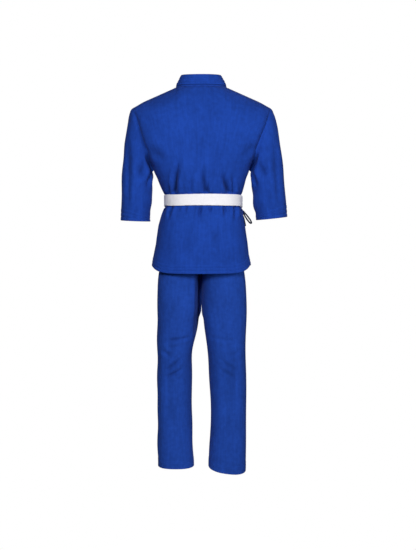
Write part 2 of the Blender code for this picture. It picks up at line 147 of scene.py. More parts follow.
# Rings of (height, half width, half depth)
SEAT = [(0.785, 0.152, 0.100), (0.82, 0.148, 0.100), (0.87, 0.140, 0.098), (0.90, 0.131, 0.095),
        (0.99, 0.128, 0.093)]

# Rings of (height, outer x, half depth) of both legs, and each leg's inner x
LEG = [(0.002, 0.163, 0.070), (0.13, 0.163, 0.071), (0.26, 0.163, 0.073), (0.40, 0.163, 0.077),
       (0.464, 0.163, 0.080), (0.51, 0.163, 0.082), (0.58, 0.163, 0.086), (0.68, 0.161, 0.089),
       (0.73, 0.156, 0.090), (0.757, 0.146, 0.090), (0.775, 0.145, 0.090), (0.800, 0.1425, 0.087)]
LEG_LEFT = (0.030, 0.037, 0.038, 0.037, 0.030, 0.0185, 0.005, 0.004, 0.0035, 0.0035, 0.0035, 0.0035)
LEG_RIGHT = (0.027, 0.033, 0.033, 0.026, 0.0185, 0.012, 0.005, 0.004, 0.0035, 0.0035, 0.0035, 0.0035)


# ---- numbers

def smooth(value):
    value = np.clip(value, 0.0, 1.0)
    return value * value * (3 - 2 * value)


def bell(value, width):
    return np.exp(-(value / width) ** 2)


def row_marks(place, first, spacing, count, width):
    """Near 1 on evenly spaced rows and 0 between them."""
    return sum(bell(place - first - spacing * row, width) for row in range(count))


def power(value, exponent):
    return np.sign(value) * np.abs(value) ** exponent


def unit(vectors):
    return vectors / np.maximum(np.linalg.norm(vectors, axis=-1, keepdims=True), 1e-12)


def rounded(table, column=1, sigma=0.006):
    """The table as a function with its corners rounded off over about sigma metres."""
    places = np.array([row[0] for row in table])
    values = np.array([row[column] for row in table])
    fine = np.arange(places[0] - 0.04, places[-1] + 0.04, 0.001)
    plain = np.interp(fine, places, values)
    reach = np.arange(-4 * sigma, 4 * sigma + 0.0005, 0.001)
    kernel = np.exp(-0.5 * (reach / sigma) ** 2)
    padded = np.pad(plain, len(reach) // 2, mode="edge")
    soft = np.convolve(padded, kernel / kernel.sum(), mode="valid")[: len(fine)]
    return lambda query: np.interp(query, fine, soft)


half_width = rounded(HALF_WIDTH, sigma=0.0035)
back_depth = rounded(BACK_DEPTH, sigma=0.0035)
front_depth = rounded(FRONT_DEPTH, sigma=0.0035)
lapel_edge = rounded(LAPEL_EDGE, sigma=0.010)


def tilt_share(level):
    """How far the cloth near the belt follows the belt's slope."""
    return 1 - smooth((np.abs(level - BELT_LEVEL) - 0.035) / 0.08)


def top_level(x):
    """Height of the shoulder seam, rounding down at its outer end, or of the neckline inside it."""
    outside = np.maximum(0.0, np.abs(x) - NECK_X)
    return SEAM_TOP - SEAM_SLOPE * outside - 0.004 * smooth((np.abs(x) - 0.205) / 0.05)


def jacket_surface(x, level, side, lift=0.0, over=0.0):
    """Points of the jacket cloth: side is 1 behind and -1 in front.

    lift moves the cloth outward and fades at the shoulder seam; over is added everywhere.
    """
    half = half_width(level)
    share = np.minimum(1.0, np.abs(x) / half)
    hold = 0.6 * smooth((level - ARMPIT + 0.010) / 0.080)
    round_part = np.maximum(0.0, 1 - share ** OVAL) ** (1 / OVAL)
    depth = back_depth(level) if side > 0 else front_depth(level)
    below = top_level(x) - level
    lift = lift * (0.15 + 0.85 * smooth(below / 0.06)) * smooth((half - np.abs(x)) / 0.05) + over
    full = depth * (hold + (1 - hold) * round_part)
    rise = np.clip(below / ROLL, 0.0, 1.0)
    roll = np.sqrt(1 - (1 - rise) ** 2)
    neck = np.zeros_like(x)
    if side > 0:
        neck = NECK_DEPTH * np.sqrt(np.clip(1 - (x / NECK_X) ** 2, 0.0, 1.0))
    y = side * (SEAM + neck + (full - neck) * roll + lift * np.sqrt(rise))
    z = level + TILT * y * tilt_share(level) + lift * np.sqrt(1 - rise)
    return np.stack([x + WAIST_SHIFT * bell(level - 0.985, 0.055), y, z], axis=-1)


def hem_level(x):
    """Height of the jacket hem: level, then cut up to the side vents, higher on the wearer's right."""
    return 0.723 + np.where(x > 0, 0.023, 0.030) * np.minimum(1.0, np.abs(x) / VENT_X) ** 8


def crease(places, start, end, width, depth, fades=(0.35, 0.12), ridge=0.6, cusp=2.0):
    """A fold along a line: a valley with a soft ridge on both sides, fading at its ends.

    cusp shapes the valley: 2 is rounded, 1 is a sharp V.
    """
    start = np.array(start)
    line = np.array(end) - start
    length = np.linalg.norm(line)
    along = ((places - start) @ line) / length ** 2
    across = (places - start) @ np.array([-line[1], line[0]]) / length
    window = smooth(along / fades[0]) * smooth((1 - along) / fades[1])
    valley = np.exp(-(np.abs(across) / width) ** cusp)
    sides = bell(np.abs(across) - 2.1 * width, 1.2 * width)
    return depth * window * (ridge * sides - valley)


def creases(places, rows, *shape):
    """Several folds together; each row is (start, end, width, depth), and fades if shape is empty."""
    return sum(crease(places, *row, *shape) for row in rows)


def waves(first, second, seed, size, depth):
    """Slow uneven swelling of hung cloth."""
    chance = np.random.default_rng(seed)
    total = np.zeros(np.broadcast(first, second).shape)
    for _ in range(9):
        angle = chance.uniform(0, 2 * math.pi)
        pitch = size * chance.uniform(0.6, 1.6)
        phase = chance.uniform(0, 2 * math.pi)
        place = first * math.cos(angle) + second * math.sin(angle)
        total = total + np.sin(2 * math.pi * place / pitch + phase)
    return depth * total / 3


# ---- meshes

def outward_normals(middle, closed, centre=None):
    """Normals of the grid, turned away from the centre line of the piece."""
    if closed:
        along = np.roll(middle, -1, axis=1) - np.roll(middle, 1, axis=1)
    else:
        along = np.gradient(middle, axis=1)
    normals = unit(np.cross(along, np.gradient(middle, axis=0)))
    if centre is None:
        centre = middle.reshape(-1, 3).mean(axis=0)
    away = (middle - centre) * np.array([1, 1, 0.0])
    return normals if (normals * away).sum() > 0 else -normals


def pushed(middle, distance, closed=False, centre=None):
    return middle + outward_normals(middle, closed, centre) * np.asarray(distance)[..., None]


def spans(middle, axis):
    """Mean distance along the cloth from the first row or column to each one."""
    steps = np.linalg.norm(np.diff(middle, axis=axis), axis=2).mean(axis=1 - axis)
    return np.concatenate([[0.0], np.cumsum(steps)])


def grid_row(low, high, count):
    return np.linspace(low, high, count)[None, :]


def grid_column(low, high, count):
    return np.linspace(low, high, count)[:, None]


def full_turn(count):
    """The angles round a closed grid, as a row."""
    return np.linspace(0, 2 * math.pi, count, endpoint=False)[None, :]


def mesh_grid(*parts):
    """Coordinates of any matching shapes as one grid of points."""
    return np.stack(np.broadcast_arrays(*parts), axis=-1)


def shell(name, middle, look, thickness=CLOTH, relief=0.0, closed=False, centre=None, along=None, push=None):
    """A closed thin sheet round a grid of points.

    relief lifts the outer face only. along is each row's distance for the stitch rows. push is how far folds
    moved the cloth; its deep places get painted shade.
    """
    rows, columns = middle.shape[:2]
    normals = outward_normals(middle, closed, centre)
    outer = middle + normals * (thickness / 2 + np.broadcast_to(relief, (rows, columns)))[..., None]
    inner = middle - normals * thickness / 2
    points = np.concatenate([outer.reshape(-1, 3), inner.reshape(-1, 3)])
    points[:, 2] -= NECK_BASE
    index = np.arange(rows * columns).reshape(rows, columns)
    after = np.roll(index, -1, axis=1)
    if not closed:
        index, after = index[:, :-1], after[:, :-1]
    quads = np.stack([index[:-1], after[:-1], after[1:], index[1:]], axis=-1).reshape(-1, 4)
    offset = rows * columns
    rims = [(index[0], after[0]), (after[-1], index[-1])]
    if not closed:
        left, right = index[:, 0], after[:, -1]
        rims += [(left[1:], left[:-1]), (right[:-1], right[1:])]
    faces = [quads, quads[:, ::-1] + offset]
    faces += [np.stack([one, one + offset, other + offset, other], axis=-1) for one, other in rims]
    faces = np.concatenate(faces)
    first, second, _, fourth = points[quads].transpose(1, 0, 2)
    if (np.cross(second - first, fourth - first) * normals.reshape(-1, 3)[quads[:, 0]]).sum() < 0:
        faces = faces[:, ::-1]
    across = spans(middle, 1)
    along = spans(middle, 0) if along is None else np.asarray(along)
    flat = np.concatenate([mesh_grid(across[None, :], along[:, None]).reshape(-1, 2)] * 2)
    piece = finished_mesh(name, points, faces, flat, look, closed, across)
    if push is not None:
        # Painted shade: how deep each point lies in a fold, kept on the mesh to darken the cloth's colour
        # there.
        depth = np.clip((-np.broadcast_to(push, (rows, columns)) - 0.0015) / 0.0120, 0.0, 1.0).reshape(-1)
        painted_fold_shade = piece.data.attributes.new("painted_fold_shade", "FLOAT", "POINT")
        painted_fold_shade.data.foreach_set("value", np.concatenate([depth, depth]).astype(np.float32))
    return piece


def finished_mesh(name, points, faces, flat, look, closed, across):
    """The object, with a flat map of the cloth that also runs on over the last strip of a closed piece."""
    mesh = bpy.data.meshes.new(name)
    mesh.from_pydata(points.tolist(), [], faces.tolist())
    loops = faces.reshape(-1)
    places = flat[loops].reshape(-1, 4, 2)
    if closed:
        step = across[-1] / (len(across) - 1)
        wrapped = places[..., 0].max(axis=1) - places[..., 0].min(axis=1) > across[-1] / 2
        low = places[wrapped, :, 0] < across[-1] / 2
        places[wrapped, :, 0] += np.where(low, across[-1] + step, 0.0)
    layer = mesh.uv_layers.new(name="cloth")
    layer.data.foreach_set("uv", places.reshape(-1).astype(np.float32))
    mesh.shade_smooth()
    mesh.materials.append(look)
    return new_object(name, mesh)


def new_object(name, data):
    item = bpy.data.objects.new(name, data)
    bpy.context.scene.collection.objects.link(item)
    return item


def declare(piece, nodes, body, slot="jacket_cloth", **sheet):
    """Parents a piece to its body's empty and hides the parts it replaces. body is its body's name, or two
    bodies and the ends of the bend between them, and then the piece's transform is only baked.
    """
    if isinstance(body, str):
        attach(piece, body)
    else:
        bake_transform(piece)
    if nodes:
        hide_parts(*nodes)


def span_down(heights):
    """The top and bottom of a bend, in the part's frame."""
    return [(0, 0, height - NECK_BASE) for height in heights]


# ---- materials

def set_inputs(node, values):
    """Sets a node's inputs, by name or number: a socket is linked and anything else is a plain value."""
    for key, value in values.items():
        if isinstance(value, bpy.types.NodeSocket):
            node.id_data.links.new(value, node.inputs[key])
        else:
            node.inputs[key].default_value = value


class Nodes:
    """Short calls for building a material's nodes."""

    def __init__(self, name):
        self.material = bpy.data.materials.new(name)
        self.material.use_nodes = True
        self.shader = self.material.node_tree.nodes["Principled BSDF"]

    def add(self, kind, inputs=(), **settings):
        node = self.material.node_tree.nodes.new(kind)
        for key, value in settings.items():
            setattr(node, key, value)
        set_inputs(node, dict(inputs))
        return node

    def math(self, operation, *values):
        return self.add("ShaderNodeMath", enumerate(values), operation=operation).outputs[0]

    def times(self, first, second):
        return self.math("MULTIPLY", first, second)

    def mix(self, share, first, second, blend_type="MIX"):
        inputs = {0: share, 6: first, 7: second}
        return self.add("ShaderNodeMix", inputs, data_type="RGBA", blend_type=blend_type).outputs[2]

    def noise(self, place, scale, detail):
        inputs = {"Vector": place, "Scale": scale, "Detail": detail}
        return self.add("ShaderNodeTexNoise", inputs).outputs["Fac"]

    def stretched_noise(self, place, scale, detail):
        mapping = self.add("ShaderNodeMapping", {"Vector": place, "Scale": scale})
        return self.noise(mapping.outputs[0], 1.0, detail)

    def wave(self, place, pitch):
        return self.math("SINE", self.times(place, 2 * math.pi / pitch))

    def weighted(self, *pairs):
        """The sum of values, each times its weight."""
        total, *parts = [self.times(*pair) for pair in pairs]
        for part in parts:
            total = self.math("ADD", total, part)
        return total


def shaded(colour, factor):
    return tuple(channel * factor for channel in colour[:3]) + (1.0,)


def row_parts(tree, along, first, spacing, count):
    """For rows at first, first + spacing, ...: how far the nearest is, in spacings, and where rows are."""
    steps = tree.math("DIVIDE", tree.math("SUBTRACT", along, first - spacing / 2), spacing)
    near = tree.math("ABSOLUTE", tree.math("SUBTRACT", tree.math("FRACT", steps), 0.5))
    after, before = tree.math("GREATER_THAN", steps, 0.0), tree.math("LESS_THAN", steps, float(count))
    return near, tree.times(after, before)


def stitch_mask(tree, along, across, first, spacing, count):
    """Dashed rows of thread."""
    near, inside = row_parts(tree, along, first, spacing, count)
    row = tree.math("LESS_THAN", near, 0.00055 / spacing)
    dash = tree.math("GREATER_THAN", tree.wave(across, STITCH), -0.35)
    return tree.times(tree.times(row, inside), dash)


def seam_shadow_mask(tree, along, first, spacing, count):
    """Unbroken soft lines of painted shadow where two layers of cloth meet."""
    near, inside = row_parts(tree, along, first, spacing, count)
    line = tree.math("SUBTRACT", 1.0, tree.times(near, spacing / 0.0026))
    return tree.times(tree.math("MAXIMUM", line, 0.0), inside)


def woven(name, colour, pitch, roughness=0.9, stitches=(), seam_shadows=(), mottle=0.16, thread=1.35, sheen=0.02):
    """A woven cloth: crossing threads, slubs, slow mottling, painted shade in deep folds, painted shadow
    lines at seams and dashed stitch rows.
    """
    tree = Nodes(name)
    layer = tree.add("ShaderNodeUVMap", uv_map="cloth").outputs[0]
    across, along, _ = tree.add("ShaderNodeSeparateXYZ", {0: layer}).outputs
    body = tree.add("ShaderNodeTexCoord").outputs["Object"]

    weave = tree.times(tree.wave(across, pitch), tree.wave(along, pitch))
    fuzz = tree.noise(body, 1400.0, 2.0)
    slubs = tree.stretched_noise(layer, (60.0, 900.0, 1.0), 2.0)
    shade = tree.weighted((weave, 0.16), (fuzz, 0.5), (slubs, 0.5))
    base = tree.mix(shade, shaded(colour, 0.80), shaded(colour, 1.18))

    blotch = tree.noise(body, 9.0, 4.0)
    streaks = tree.stretched_noise(layer, (130.0, 14.0, 1.0), 3.0)
    grain = tree.noise(body, 75.0, 4.0)
    cloud = tree.weighted((blotch, 0.35), (streaks, 0.30), (grain, 0.35))
    spread = tree.times(tree.math("SUBTRACT", cloud, 0.38), 4.2)
    spread = tree.math("MAXIMUM", tree.math("MINIMUM", spread, 1.0), 0.0)
    tint = tree.mix(spread, (1 - mottle,) * 3 + (1.0,), (1 + mottle,) * 3 + (1.0,))
    base = tree.mix(1.0, base, tint, "MULTIPLY")

    # Painted shade: in deep folds the colour is darkened toward a third of itself.
    painted_fold_shade = tree.add("ShaderNodeAttribute", attribute_name="painted_fold_shade").outputs["Fac"]
    base = tree.mix(tree.times(painted_fold_shade, 0.75), base, shaded(colour, 0.30))
    height = tree.weighted((weave, 0.5), (fuzz, 0.6))
    # Painted shadow: soft dark lines where one layer of cloth lies over another.
    for rows in seam_shadows:
        base = tree.mix(seam_shadow_mask(tree, along, *rows), base, shaded(colour, 0.35))
    for rows in stitches:
        mask = stitch_mask(tree, along, across, *rows)
        base = tree.mix(mask, base, shaded(colour, thread))
        height = tree.math("ADD", height, tree.times(mask, 1.2))
    bump = tree.add("ShaderNodeBump", {"Height": height, "Strength": 0.55, "Distance": 0.00035}).outputs[0]
    set_inputs(tree.shader, {"Base Color": base, "Normal": bump, "Roughness": roughness,
                             "Specular IOR Level": 0.08, "Sheen Weight": sheen, "Sheen Roughness": 0.5})
    return tree.material


jacket_look = woven("jacket_cloth", BLUE, 0.0011)
hem_look = woven("jacket_hem_cloth", BLUE, 0.0011, stitches=(HEM_ROWS,))
# The collar's seam row is a painted shadow line, not a dark thread.
collar_look = woven("collar_cloth", BLUE, 0.0011, stitches=(COLLAR_ROWS,), seam_shadows=((0.0080, 0.0120, 1),),
                    thread=1.5)
band_look = woven("band_cloth", BLUE, 0.0011, stitches=((0.004, 0.0080, 6),))
trouser_look = woven("trouser_cloth", TROUSER_BLUE, 0.0009, stitches=(TROUSER_HEM_ROWS,))
belt_look = woven("belt_cotton", WHITE, 0.0010, 0.85, stitches=((0.0032, 0.0048, 8),), mottle=0.03,
                  thread=0.9)
tie_look = woven("tie_cloth", NAVY, 0.0012, 0.75, mottle=0.15, sheen=0.1)
elastic_look = woven("elastic_band", WHITE, 0.0014, 0.8, mottle=0.04)


# ---- jacket

def waist_fade(level):
    """Folds and swelling almost vanish where the belt presses the cloth flat."""
    return 0.15 + 0.85 * smooth((np.abs(level - BELT_LEVEL) - 0.019) / 0.012)


def body_levels(top, count=150):
    """Heights from the belt up to the top of each column, closer together near the top."""
    share = grid_column(0, 1, count)
    return WAIST_JOIN + JOIN_GAP + (top - WAIST_JOIN - JOIN_GAP) * (1 - (1 - share) ** 1.35)


def back_folds(x, level):
    """Folds drawn in by the belt, deepest just above it, and faint ones up the back and to the armpits."""
    places = np.stack([x, level], axis=-1)
    drawn = [((0.072, 1.170), (0.105, 1.000), 0.0080, 0.0190),
             ((0.116, 1.060), (0.124, 1.000), 0.0060, 0.0110),
             ((-0.003, 1.140), (-0.008, 1.000), 0.0078, 0.0165),
             ((-0.032, 1.085), (-0.014, 1.000), 0.0060, 0.0110),
             ((-0.064, 1.115), (-0.095, 1.000), 0.0080, 0.0185),
             ((-0.112, 1.090), (-0.110, 1.000), 0.0062, 0.0125)]
    faint = [((0.036, 1.100), (0.044, 1.000), 0.0075, 0.0045, (0.6, 0.06)),
             ((-0.050, 1.240), (-0.046, 1.020), 0.0180, 0.0040, (0.5, 0.3)),
             ((0.022, 1.270), (0.016, 1.030), 0.0170, 0.0035, (0.5, 0.3)),
             ((0.205, 1.180), (0.120, 1.120), 0.0150, 0.0050, (0.3, 0.5)),
             ((-0.205, 1.190), (-0.120, 1.125), 0.0150, 0.0050, (0.3, 0.5))]
    return creases(places, drawn, (0.9, 0.04), 0.35, 1.2) + creases(places, faint)


def armhole_dip(x, level):
    """The body's edge sinks toward the sleeve seam, above the armpit."""
    near = bell((half_width(level) - np.abs(x)) / 0.95, 0.010)
    return -0.0026 * near * smooth((level - ARMPIT + 0.01) / 0.03) * smooth((SHOULDER - level) / 0.05)


def make_back():
    turn = np.linspace(0, math.pi, 250)
    plain = power(np.cos(turn), 2 / OVAL)[None, :]
    level = body_levels(top_level(SHOULDER_X * plain))
    x = plain * half_width(level)
    middle = jacket_surface(x, level, 1)
    push = back_folds(x, level) + waves(x, level, 4, 0.13, 0.0016) + armhole_dip(x, level)
    push *= waist_fade(level) * smooth((top_level(x) - level) / 0.03)
    middle = pushed(middle, push)
    piece = shell("back_cloth", middle, jacket_look, push=push)
    declare(piece, ["back_body"], "jacket", flat=(0.56, 0.48), held="hung", rests_on=["collar_back"],
            area=0.20)


def front_x(turn, level):
    """Distance of a front's columns from the middle, from its free edge under the lapel to its side seam."""
    half = half_width(level)
    share = np.clip((lapel_edge(level) + FRONT_INSET) / half, -1, 1)
    last = np.arccos(power(share, OVAL / 2))
    return half * power(np.cos(last * turn), 2 / OVAL)


def front_tops(turn):
    """Height of the top of each column, found by repeating because its distance depends on its height."""
    level = np.full_like(turn, SEAM_TOP)
    for _ in range(15):
        level = top_level(front_x(turn, level))
    return level


def front_folds(x, level, hand):
    places = np.stack([hand * x, level], axis=-1)
    return creases(places, [((0.105, 1.180), (0.085, 1.000), 0.0080, 0.0070, (0.5, 0.06)),
                            ((0.130, 1.090), (0.118, 1.000), 0.0065, 0.0060, (0.5, 0.06)),
                            ((0.040, 1.100), (0.045, 1.000), 0.0075, 0.0045, (0.5, 0.06)),
                            ((0.150, 1.250), (0.110, 1.090), 0.0150, 0.0030, (0.5, 0.4))])


def make_front(side, hand, lift):
    turn = grid_row(0, 1, 110)
    level = body_levels(front_tops(turn))
    x = hand * front_x(turn, level)
    middle = jacket_surface(x, level, -1, lift)
    push = front_folds(x, level, hand) * smooth((hand * x - 0.015) / 0.03)
    push += waves(x, level, 7 + hand, 0.16, 0.0010) * 0.8 + armhole_dip(x, level)
    push *= waist_fade(level) * smooth((top_level(x) - level) / 0.03) * smooth((1 - turn) / 0.06)
    piece = shell("front_cloth_" + side, pushed(middle, push, centre=CHEST), jacket_look, centre=CHEST)
    declare(piece, ["front_body_" + side], "jacket", flat=(0.36, 0.48), held="hung", rests_on=["collar_back"],
            area=0.12)


def band_relief(share):
    """Five stitched rows pressed into a band, and its rounded edges."""
    edges = bell(share, 0.045) + bell(1 - share, 0.045)
    return -0.0009 * (row_marks(share, 0.7 / 5.4, 1 / 5.4, 5, 0.028) + edges)


def make_collar():
    low = SEAM_TOP - 0.0035
    height = grid_column(low, COLLAR_TOP, 70)
    turn = grid_row(0, math.pi, 150)
    share = np.clip((height - COLLAR_BEND) / (COLLAR_TOP - COLLAR_BEND), 0.0, 1.0)
    x = (0.0900 - 0.0180 * share) * np.cos(turn) + 0.0015
    y = (0.067 - 0.004 * share) * np.sin(turn) + 0.001 - (0.0014 + 0.0024 * share) * bell(np.sin(turn), 0.12)
    z = height - 0.003 * share * (0.5 + 0.5 * np.sin(turn) ** 2)
    middle = pushed(mesh_grid(x, y, z), waves(turn * 0.08, height, 12, 0.10, 0.0006))
    rise = height - low
    relief = -0.0008 * (bell(rise - rise[-1], 0.0022) + bell(rise - 0.0085, 0.0018))
    relief = relief - 0.0013 * row_marks(rise, *COLLAR_ROWS, 0.0016)
    piece = shell("collar_band", middle, collar_look, 0.0042, relief, along=rise[:, 0])
    declare(piece, ["collar_back"], "jacket", flat=(0.24, 0.095), held="folded", rests_on=["back_cloth"],
            area=0.0115)


def lapel_neck(hand, lift):
    """The upper end of a lapel band, turning up from the chest to the collar's front end."""
    climb = np.linspace(0, 1, 60)[1:, None]
    share = grid_row(0, 1, BAND_COLUMNS)
    turn_level = np.array([LAPEL_TURN])
    foot = jacket_surface(hand * lapel_edge(turn_level), turn_level, -1, lift, LAYER)[0]
    top = np.array([hand * 0.0720 + 0.0015, -0.0035, COLLAR_TOP - 0.002])
    inner = foot + (top - foot) * climb
    start = lapel_edge(LAPEL_TURN) + LAPEL
    x = start + (0.0990 - start) * climb
    level = LAPEL_TURN + (SEAM_TOP - 0.0039 - LAPEL_TURN) * climb
    outer = jacket_surface(hand * x, level, -1, lift, LAYER)[:, 0] - np.array([0, 0, 0.0030]) * climb ** 2
    bulge = np.array([0, -0.013, 0.004]) * np.sin(math.pi * climb ** 0.7)
    to_collar = 17.7 * share ** 6 * (1 - share) * climb ** 4
    middle = inner[:, None] + (outer - inner)[:, None] * share[..., None]
    middle = middle + bulge[:, None] * (1 - 0.6 * share[..., None])
    return middle + np.array([-0.0042 * hand, 0.0010, -0.0055]) * to_collar[..., None]


def softened(middle, first, last, passes=10):
    """Averages neighbouring rows of a grid between two rows, fading at both."""
    weights = np.array([1, 4, 6, 4, 1]) / 16
    count = len(middle)
    place = np.arange(2, count - 2)
    soft = (smooth((place - first) / 8) * smooth((last - place) / 8))[:, None, None]
    for _ in range(passes):
        near = sum(weight * middle[shift:count - 4 + shift] for shift, weight in enumerate(weights))
        middle[2:-2] = near * soft + middle[2:-2] * (1 - soft)
    return middle


def band_surface(hand, lift, low, high, count):
    """The lapel band's flat part between two heights, lying on the front."""
    share = grid_row(0, 1, BAND_COLUMNS)
    level = grid_column(low, high, count)
    return jacket_surface(hand * (lapel_edge(level) + LAPEL * share), level + 0 * share, -1, lift, LAYER)


def banded(name, middle, centre):
    """A band whose stitch rows run along its length: its two grid directions are swapped."""
    relief = np.broadcast_to(band_relief(np.linspace(0, 1, BAND_COLUMNS)), middle.shape[:2]).T
    return shell(name, np.swapaxes(middle, 0, 1), band_look, BAND_THICKNESS, relief, centre=centre)


def make_lapel(side, hand, lift):
    flat = band_surface(hand, lift, WAIST_JOIN + JOIN_GAP, LAPEL_TURN, 120)
    middle = softened(np.concatenate([flat, lapel_neck(hand, lift)]), 95, 176)
    piece = banded("lapel_band_" + side, middle, CHEST)
    declare(piece, ["lapel_" + side], "jacket", flat=(0.50, 0.10), held="folded", rests_on=["jacket"],
            area=0.025)


def make_jacket_body():
    make_back()
    for front in FRONTS:
        make_front(*front)
    make_collar()
    for front in FRONTS:
        make_lapel(*front)


# ---- tails

def tail_levels(low, count=70):
    """Heights from under the belt down to the hem, closest together in the stitched hem."""
    top = WAIST_JOIN - JOIN_GAP
    plain = grid_column(0, 1, count) * (top - low - TAIL_HEM)
    hem = top - low - TAIL_HEM + np.linspace(0, 1, 46)[1:, None] * TAIL_HEM
    return top - np.concatenate([plain, hem])


def hem_relief(rise):
    """The turned-up hem: thicker cloth with stitched rows pressed into it."""
    thicker = 0.0009 * smooth((HEM_DEEP - rise) / 0.0015)
    return thicker - 0.0012 * row_marks(rise, *HEM_ROWS, 0.0014) - 0.0008 * bell(rise, 0.0012)


def edge_relief(distance):
    """The turned-in side edge of a tail, with its two stitched rows."""
    thicker = 0.0007 * smooth((0.022 - distance) / 0.0015)
    return thicker - 0.0006 * row_marks(distance, 0.004, 0.014, 2, 0.0011)


def tail_folds(x, level):
    """Short gathers just below the belt and long soft folds down to the hem."""
    places = np.stack([x, level], axis=-1)
    gathers = [(0.108, (0.122, 0.905), 0.0055, 0.0095), (0.007, (0.010, 0.895), 0.0055, 0.0085),
               (-0.026, (-0.030, 0.920), 0.0050, 0.0065), (-0.076, (-0.084, 0.910), 0.0055, 0.0075),
               (-0.114, (-0.122, 0.905), 0.0055, 0.0095), (0.060, (0.062, 0.925), 0.0060, 0.0050)]
    short = creases(places, [((start, 0.972), *row) for start, *row in gathers], (0.1, 0.6))
    return short + creases(places, [((0.050, 0.930), (0.060, 0.760), 0.0220, 0.0035),
                                    ((-0.045, 0.920), (-0.058, 0.760), 0.0240, 0.0035)], (0.4, 0.3))


def make_back_tail():
    turn = grid_row(0, math.pi, 230)
    plain = power(np.cos(turn), 2 / OVAL)
    low = hem_level(plain * VENT_X)
    level = tail_levels(low)
    x = plain * half_width(level)
    push = (tail_folds(x, level) + waves(x, level, 21, 0.13, 0.0013)) * waist_fade(level)
    middle = pushed(jacket_surface(x, level, 1), push)
    side = np.minimum(turn, math.pi - turn) * 0.115 + 0 * level
    rise = level - low
    piece = shell("back_tail_cloth", middle, hem_look, relief=hem_relief(rise) + edge_relief(side),
                  along=rise[:, 115], push=push)
    declare_tail(piece, ("jacket", "back_tail"), ["back_tail", "back_tail_hem"], flat=(0.52, 0.26),
                 held="hung", area=0.12)


def declare_tail(piece, bodies, nodes, **sheet):
    declare(piece, nodes, (*bodies, *span_down(TAIL_BEND)), rests_on=["belt_inner_turn"], **sheet)


def make_front_tail(side, hand, lift):
    turn = grid_row(0, 1, 120)
    low = hem_level(front_x(turn, np.full_like(turn, 0.75)))
    level = tail_levels(low)
    x = hand * front_x(turn, level)
    push = (tail_folds(x * 0.93, level) + waves(x, level, 31 + hand, 0.13, 0.0011)) * waist_fade(level)
    push *= smooth((1 - turn) / 0.08) * smooth((hand * x + 0.02) / 0.05)
    middle = pushed(jacket_surface(x, level, -1, lift), push, centre=HIPS)
    relief = hem_relief(level - low) + edge_relief(turn * 0.25 + 0 * level)
    piece = shell("front_tail_cloth_" + side, middle, hem_look, relief=relief, centre=HIPS,
                  along=(level - low)[:, 60])
    declare_tail(piece, TAIL_BODIES[side], ["front_tail_" + side, "front_tail_hem_" + side],
                 flat=(0.33, 0.26), held="hung", area=0.073)


def make_lapel_tail(side, hand, lift):
    middle = band_surface(hand, lift, WAIST_JOIN - JOIN_GAP, 0.734, 90)
    declare_tail(banded("lapel_tail_band_" + side, middle, HIPS), TAIL_BODIES[side], ["lapel_tail_" + side],
                 flat=(0.25, 0.10), held="folded", area=0.0125)


def make_tails():
    make_back_tail()
    for front in reversed(FRONTS):
        make_front_tail(*front)
    for front in reversed(FRONTS):
        make_lapel_tail(*front)


# ---- sleeves

def armhole(turn, gap):
    """The ring where the sleeve meets the jacket, moved out along the sleeve by gap."""
    level = (ARMPIT + SHOULDER) / 2 + (SHOULDER - ARMPIT) / 2 * np.cos(turn)
    x = half_width(level)
    behind = jacket_surface(x, level, 1)
    before = jacket_surface(x, level, -1)
    ring = np.where(np.sin(turn)[:, None] >= 0, behind, before)
    return ring + gap * SLEEVE_WAY


def sleeve_grid(sections, rows=150, columns=150):
    """The sleeve's rings, starting with one tucked inside the armhole."""
    turn = np.linspace(0, 2 * math.pi, columns, endpoint=False)
    along = 0.5 + 0.5 * np.cos(turn)
    start = armhole(turn, 0.0016)
    middle = start.mean(axis=0)
    tucked = (armhole(turn, -TUCK) - middle) * 0.975 + middle
    rings = [tucked, start]
    for number, (inner_x, inner_z, outer_x, outer_z, depth) in enumerate(sections):
        y = depth * np.sin(turn)
        share = float(smooth((number + 1) / 3))
        if number < 2:
            y = start[:, 1] * (1 - share) + y * share
        rings.append(np.stack([inner_x + (outer_x - inner_x) * along, y,
                               inner_z + (outer_z - inner_z) * along], axis=-1))
    return refined(np.stack(rings), rows)


def refined(rings, rows):
    """More rings between the given ones, on a smooth curve through each column."""
    steps = np.linalg.norm(np.diff(rings, axis=0), axis=2).mean(axis=1)
    places = np.concatenate([[0], np.cumsum(steps)]) / steps.sum()
    share = np.concatenate([np.linspace(0, 0.86, rows - 45), np.linspace(0.86, 1, 46)[1:]])
    slopes = np.gradient(rings, places, axis=0)
    index = np.clip(np.searchsorted(places, share, side="right") - 1, 0, len(places) - 2)
    width = (places[index + 1] - places[index])[:, None, None]
    local = ((share - places[index]) / (places[index + 1] - places[index]))[:, None, None]
    a, b = rings[index], rings[index + 1]
    c, d = slopes[index] * width, slopes[index + 1] * width
    square, cube = local ** 2, local ** 3
    return (2 * cube - 3 * square + 1) * a + (cube - 2 * square + local) * c + \
        (3 * square - 2 * cube) * b + (cube - square) * d


